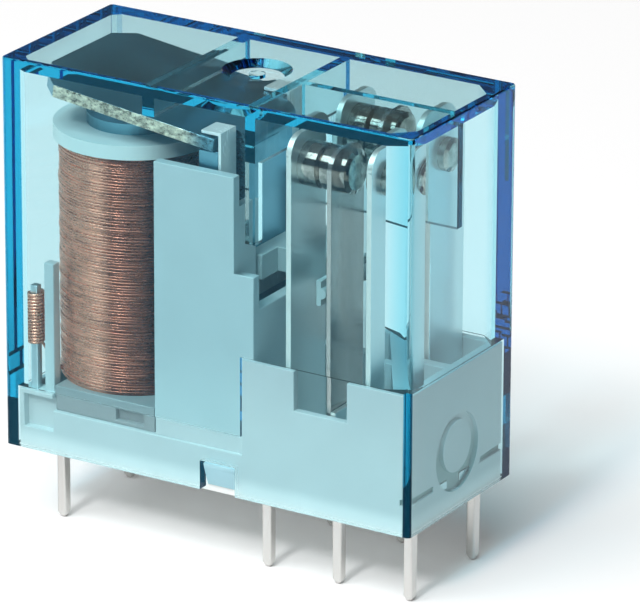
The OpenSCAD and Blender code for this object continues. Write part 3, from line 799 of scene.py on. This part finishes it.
def turns_tree():
    """Geometry nodes that wind wire in one layer round a vertical axis."""
    group, start, end = group_with("GeometryNodeTree", "Wound layer", (
        ("Geometry", "NodeSocketGeometry"),
        ("Turns", "NodeSocketFloat"),
        ("Radius", "NodeSocketFloat"),
        ("Height", "NodeSocketFloat"),
        ("Wire radius", "NodeSocketFloat"),
        ("Unevenness", "NodeSocketFloat"),
        ("Place", "NodeSocketVector"),
        ("Material", "NodeSocketMaterial"),
    ), (("Geometry", "NodeSocketGeometry"),))
    helix = put(group, "GeometryNodeCurveSpiral", {"Resolution": 56})
    wire(group, start.outputs["Turns"], helix.inputs["Rotations"])
    wire(group, start.outputs["Radius"], helix.inputs["Start Radius"])
    wire(group, start.outputs["Radius"], helix.inputs["End Radius"])
    wire(group, start.outputs["Height"], helix.inputs["Height"])
    where = put(group, "GeometryNodeInputPosition")
    squeeze = put(group, "ShaderNodeVectorMath", operation="MULTIPLY")
    squeeze.inputs[1].default_value = (120.0, 120.0, 2600.0)
    wire(group, where.outputs[0], squeeze.inputs[0])
    wander = put(group, "ShaderNodeTexNoise", {"Scale": 1.0, "Detail": 2.0})
    wire(group, squeeze.outputs[0], wander.inputs["Vector"])
    centred = put(group, "ShaderNodeVectorMath", operation="SUBTRACT")
    centred.inputs[1].default_value = (0.5, 0.5, 0.5)
    wire(group, wander.outputs["Color"], centred.inputs[0])
    tripled = put(group, "ShaderNodeMath", operation="MULTIPLY")
    tripled.inputs[1].default_value = 3.0
    wire(group, start.outputs["Unevenness"], tripled.inputs[0])
    sized = put(group, "ShaderNodeVectorMath", operation="SCALE")
    wire(group, centred.outputs[0], sized.inputs[0])
    wire(group, tripled.outputs[0], sized.inputs["Scale"])
    moved = put(group, "GeometryNodeSetPosition")
    wire(group, helix.outputs[0], moved.inputs["Geometry"])
    wire(group, sized.outputs[0], moved.inputs["Offset"])
    sweep(group, start, end, moved.outputs[0], 7, place=start.outputs["Place"])
    return group


def swept_tree():
    """Geometry nodes that sweep a round wire along the edges of a mesh."""
    group, start, end = group_with("GeometryNodeTree", "Wire along a path", (
        ("Geometry", "NodeSocketGeometry"),
        ("Wire radius", "NodeSocketFloat"),
        ("Material", "NodeSocketMaterial"),
    ), (("Geometry", "NodeSocketGeometry"),))
    line = put(group, "GeometryNodeMeshToCurve")
    wire(group, start.outputs["Geometry"], line.inputs[0])
    sweep(group, start, end, line.outputs[0], 8)
    return group


def run_nodes(made, group, values):
    """Runs a geometry node tree on an object with these inputs, and keeps the mesh it makes."""
    modifier = made.modifiers.new(group.name, "NODES")
    modifier.node_group = group
    names = {s.name: s.identifier for s in group.interface.items_tree if s.in_out == "INPUT"}
    for title, value in values.items():
        modifier[names[title]] = value
    plain(made)
    if not made.data.polygons:
        raise RuntimeError(f"{group.name} made nothing for {made.name}")
    smooth_faces(made.data, WIRE_SMOOTH_ANGLE)


def copper(name, colour, stretch, changes=()):
    """Enamelled copper: warm and part glossy."""
    finish = {"Shade": 0.4, "Roughness": 0.28, "Spread": 0.08, "Patches": 600.0, "Grain": 5000.0}
    shader = {"Metallic": 0.8}
    return finished_material(name, colour, shader, finish, (0.1, 0.00001), stretch=stretch, changes=changes)


class RELAY_OT_coil(bpy.types.Operator):
    """Winds the coil, turn by turn"""

    bl_idname = "relay.coil"
    bl_label = "Wind the coil"

    def execute(self, context):
        settings = context.scene.relay.coil
        low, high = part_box("winding")
        middle = (low.x + high.x) / 2
        radius = (high.y - low.y) / 2
        height = high.z - low.z
        wire_r = height / settings.turns * WIRE_SHARE
        under_r = radius - UNDER_DEPTH * wire_r
        # Painted shade on the winding's side toward the yoke
        yoke_side_shade = fade("X", middle, COIL_FADE, settings.yoke_shade_colour)
        material = copper("copper_winding", settings.wire_colour, (1.0, 1.0, 6.0), changes=(yoke_side_shade,))
        shape = bmesh.new()
        bmesh.ops.create_cone(
            shape, cap_ends=True, segments=64, depth=height, radius1=under_r, radius2=under_r,
            matrix=Matrix.Translation((middle, 0.0, (low.z + high.z) / 2)),
        )
        under = finished_mesh(shape, "winding_under")
        paint(under, material)
        layer = show(bpy.data.meshes.new("copper_winding"), "copper_winding")
        run_nodes(layer, turns_tree(), {
            "Turns": float(settings.turns - 1),
            "Radius": radius - wire_r - settings.unevenness,
            "Height": height - 2 * wire_r - 2 * settings.unevenness,
            "Wire radius": wire_r,
            "Unevenness": settings.unevenness,
            "Place": (middle, 0.0, low.z + wire_r + settings.unevenness),
            "Material": material,
        })
        whole = bmesh.new()
        whole.from_mesh(layer.data)
        whole.from_mesh(under.data)
        whole.to_mesh(layer.data)
        whole.free()
        bpy.data.objects.remove(under)
        stand_for(layer, "winding", "housing")
        return {"FINISHED"}


class RELAY_OT_wire_ends(bpy.types.Operator):
    """Winds the wire ends round the coil posts"""

    bl_idname = "relay.wire_ends"
    bl_label = "Wind the wire ends"

    def execute(self, context):
        settings = context.scene.relay.coil
        material = copper("copper_ends", settings.wire_colour, (1.0, 1.0, 1.0))
        tree = swept_tree()
        for side in SIDES:
            sign = -1.0 if side == "front" else 1.0
            low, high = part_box("coil_pin_" + side)
            post = Vector((low.x + POST_HALF, sign * (max(abs(low.y), abs(high.y)) - POST_HALF)))
            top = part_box("coil_wire_" + side)[1].z - WRAP_INSET
            points = self.wraps(sign, post, top, settings.wrap_turns)
            points += self.lead(post, Vector(points[-1]))
            mesh = bpy.data.meshes.new("wire_end_" + side)
            mesh.from_pydata(points, [(i, i + 1) for i in range(len(points) - 1)], [])
            made = show(mesh, "wire_end_" + side)
            run_nodes(made, tree, {"Wire radius": END_WIRE, "Material": material})
            stand_for(made, "coil_wire_" + side, "housing")
        return {"FINISHED"}

    def wraps(self, sign, post, top, turns):
        """Points from the top of the post down in slightly uneven turns."""
        drop = (turns - 1) * WRAP_PITCH
        points = []
        for i in range(turns * WRAP_STEPS + 1):
            share = i / (turns * WRAP_STEPS)
            angle = 2 * math.pi * i / WRAP_STEPS
            ring = WRAP_RING * (1.0 + 0.03 * math.sin(angle * 0.37) + 0.02 * math.sin(angle * 1.7))
            points.append((
                post.x + ring * math.sin(angle),
                post.y - sign * ring * math.cos(angle),
                top - drop * share,
            ))
        return points

    def lead(self, post, last):
        """Points from the last turn on to the winding, with a slight sag."""
        low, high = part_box("winding")
        axis = Vector(((low.x + high.x) / 2, 0.0))
        away = (post - axis).normalized() * ((high.y - low.y) / 2 - LEAD_DEPTH)
        goal = Vector((axis.x + away.x, away.y, low.z + LEAD_RISE))
        points = []
        for i in range(1, LEAD_STEPS + 1):
            share = i / LEAD_STEPS
            at = last.lerp(goal, share)
            at.z -= LEAD_SAG * math.sin(math.pi * share)
            points.append(tuple(at))
        return points


# Iron circuit

class RELAY_OT_iron(bpy.types.Operator):
    """Finishes the core, the yoke, the armature and the hinge spring"""

    bl_idname = "relay.iron"
    bl_label = "Finish the iron"

    def execute(self, context):
        settings = context.scene.relay.metal
        plated = {"Shade": 0.06, "Roughness": 0.30, "Spread": 0.02, "Patches": 300.0, "Grain": 9000.0}
        # The iron's dark blue colour is partly a painted reflection
        iron = finished_material(
            "plated_iron", settings.iron_reflection_colour, {"Metallic": 1.0}, plated, (0.02, 0.00001),
            stretch=(1.0, 0.8, 1.0),
        )
        cut = {"Shade": 0.92, "Roughness": 0.30, "Spread": 0.12, "Patches": 5000.0, "Grain": 6000.0}
        bent = fade("X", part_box("armature")[1].x, BEND_FADE, settings.iron_reflection_colour)
        sheared = finished_material(
            "sheared_iron", settings.sheared_colour, {"Metallic": 1.0}, cut, (0.5, 0.00006),
            stretch=(0.6, 1.0, 0.9), changes=(bent,),
        )
        drawn = {"Shade": 0.15, "Roughness": 0.24, "Spread": 0.08, "Patches": 700.0, "Grain": 6000.0}
        # The pale, mostly dull spring steel is partly painted light
        spring = finished_material(
            "spring_steel", settings.spring_light_colour, {"Metallic": 0.2}, drawn, (0.15, 0.00001),
            stretch=(1.0, 1.0, 0.15),
        )
        paint(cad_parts["core"], iron)
        softened("yoke", "iron_yoke", YOKE_EDGE, iron, "housing", "iron", shortest=0.0005)
        armature = softened(
            "armature", "iron_armature", settings.edge, iron, "armature", "iron", shortest=0.0005,
        )
        paint_faces(armature, sheared, lambda face: abs(face.normal.y) > 0.9)
        softened(
            "hinge_spring", "hinge_leaf", LEAF_EDGE, spring, "housing", "spring_steel", shortest=0.0001,
        )
        return {"FINISHED"}


# Terminals, blades and contacts

class RELAY_OT_terminals(bpy.types.Operator):
    """Finishes the pins and the fixed terminals"""

    bl_idname = "relay.terminals"
    bl_label = "Finish the terminals"

    def execute(self, context):
        settings = context.scene.relay.metal
        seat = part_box("base")[0].z
        rolled = {"Shade": 0.06, "Roughness": 0.32, "Spread": 0.02, "Patches": 500.0, "Grain": 9000.0}
        # Above the base the blades turn to the alloy's cyan colour, partly a painted reflection
        tin = finished_material(
            "tinned_metal", settings.tin_colour, {"Metallic": 0.9}, rolled, (0.02, 0.00001),
            stretch=(1.0, 1.0, 0.4), changes=(fade("Z", seat, PIN_FADE, settings.alloy_reflection_colour),),
        )
        cut = {"Shade": 0.12, "Roughness": 0.36, "Spread": 0.08, "Patches": 1500.0, "Grain": 7000.0}
        sheared = finished_material(
            "sheared_alloy", settings.cut_colour, {"Metallic": 0.9}, cut, (0.1, 0.00002),
            stretch=(1.0, 1.0, 0.3),
        )
        for side in SIDES:
            self.terminal("coil_pin_" + side, seat, settings, tin)
            for kind in ("nc", "com", "no"):
                made = self.terminal(f"{kind}_terminal_{side}", seat, settings, tin)
                paint_faces(
                    made, sheared, lambda face: abs(face.normal.x) < 0.5 and face.center.z > seat,
                )
        return {"FINISHED"}

    def terminal(self, node, seat, settings, material):
        """A terminal whose pin is rounder below the base than its stamped blade above."""
        def on_pin(edge):
            heights = [v.co.z for v in edge.verts]
            return max(heights) < seat + PIN_ROOT and min(heights) < seat

        def on_blade(edge):
            return all(v.co.z > seat for v in edge.verts)

        shape = merged_shape(node)
        round_edges(shape, settings.pin_round, segments=3, shortest=0.0002, allow=on_pin)
        round_edges(shape, settings.edge, shortest=0.0004, allow=on_blade)
        made = finished_mesh(shape, "tinned_" + node)
        paint(made, material)
        stand_for(made, node, "housing")
        return made


class RELAY_OT_blades(bpy.types.Operator):
    """Makes the moving blades, sliced across above their feet"""

    bl_idname = "relay.blades"
    bl_label = "Make the moving blades"

    def execute(self, context):
        settings = context.scene.relay.metal
        finish = {"Shade": 0.16, "Roughness": 0.22, "Spread": 0.06, "Patches": 500.0, "Grain": 5000.0}
        bronze = finished_material(
            "spring_bronze", settings.bronze_colour, {"Metallic": 1.0}, finish, (0.04, 0.00001),
            stretch=(1.0, 1.0, 0.3),
        )
        for side in SIDES:
            shape = merged_shape("moving_blade_" + side)
            round_edges(shape, BLADE_EDGE, shortest=0.0004)
            low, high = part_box("moving_blade_" + side)
            foot = low.z + BEND_FOOT
            for i in range(1, BEND_CUTS):
                level = foot - BEND_LEAD + (BEND_REACH + BEND_LEAD) * i / BEND_CUTS
                bmesh.ops.bisect_plane(
                    shape, geom=shape.verts[:] + shape.edges[:] + shape.faces[:],
                    plane_co=(0.0, 0.0, level), plane_no=(0.0, 0.0, 1.0), dist=1e-7,
                )
            made = finished_mesh(shape, "bronze_blade_" + side)
            paint(made, bronze)
            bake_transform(made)
            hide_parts("moving_blade_" + side)
        return {"FINISHED"}


class RELAY_OT_contacts(bpy.types.Operator):
    """Finishes the contact rivets"""

    bl_idname = "relay.contacts"
    bl_label = "Finish the contacts"

    def execute(self, context):
        settings = context.scene.relay.metal
        finish = {"Shade": 0.7, "Roughness": 0.09, "Spread": 0.04, "Patches": 1300.0, "Grain": 6000.0}
        silver = finished_material(
            "contact_silver", settings.silver_colour, {"Metallic": 1.0}, finish, (0.1, 0.00001),
        )
        for side in SIDES:
            for kind in ("moving", "nc", "no"):
                paint(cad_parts[f"{kind}_contact_{side}"], silver)
        return {"FINISHED"}


# Sidebar and registration

OPERATORS = (
    RELAY_OT_stage, RELAY_OT_cover, RELAY_OT_mouldings, RELAY_OT_coil, RELAY_OT_wire_ends,
    RELAY_OT_iron, RELAY_OT_terminals, RELAY_OT_blades, RELAY_OT_contacts,
)


class RELAY_PT_sidebar(bpy.types.Panel):
    """Lists the steps and the settings of the relay"""

    bl_idname = "RELAY_PT_sidebar"
    bl_label = "Relay"
    bl_space_type = "VIEW_3D"
    bl_region_type = "UI"
    bl_category = "Relay"

    def draw(self, context):
        layout = self.layout
        settings = context.scene.relay
        for group in ("cover", "moulding", "coil", "metal", "stage"):
            part = getattr(settings, group)
            box = layout.box()
            box.label(text=group.capitalize())
            for name in part.bl_rna.properties.keys():
                if name not in ("rna_type", "name"):
                    box.prop(part, name)
        for step in OPERATORS:
            layout.operator(step.bl_idname)


CLASSES = (
    CoverSettings, MouldingSettings, CoilSettings, MetalSettings, StageSettings, RelaySettings,
    *OPERATORS, RELAY_PT_sidebar,
)


def register():
    """Registers the classes and the scene's settings."""
    for item in CLASSES:
        bpy.utils.register_class(item)
    bpy.types.Scene.relay = PointerProperty(type=RelaySettings)


def unregister():
    """Takes the settings and the classes out again."""
    del bpy.types.Scene.relay
    for item in reversed(CLASSES):
        bpy.utils.unregister_class(item)


def main():
    register()
    bpy.ops.relay.stage()
    bpy.ops.relay.cover()
    bpy.ops.relay.mouldings()
    bpy.ops.relay.coil()
    bpy.ops.relay.wire_ends()
    bpy.ops.relay.iron()
    bpy.ops.relay.terminals()
    bpy.ops.relay.blades()
    bpy.ops.relay.contacts()


if __name__ == "__main__":
    main()
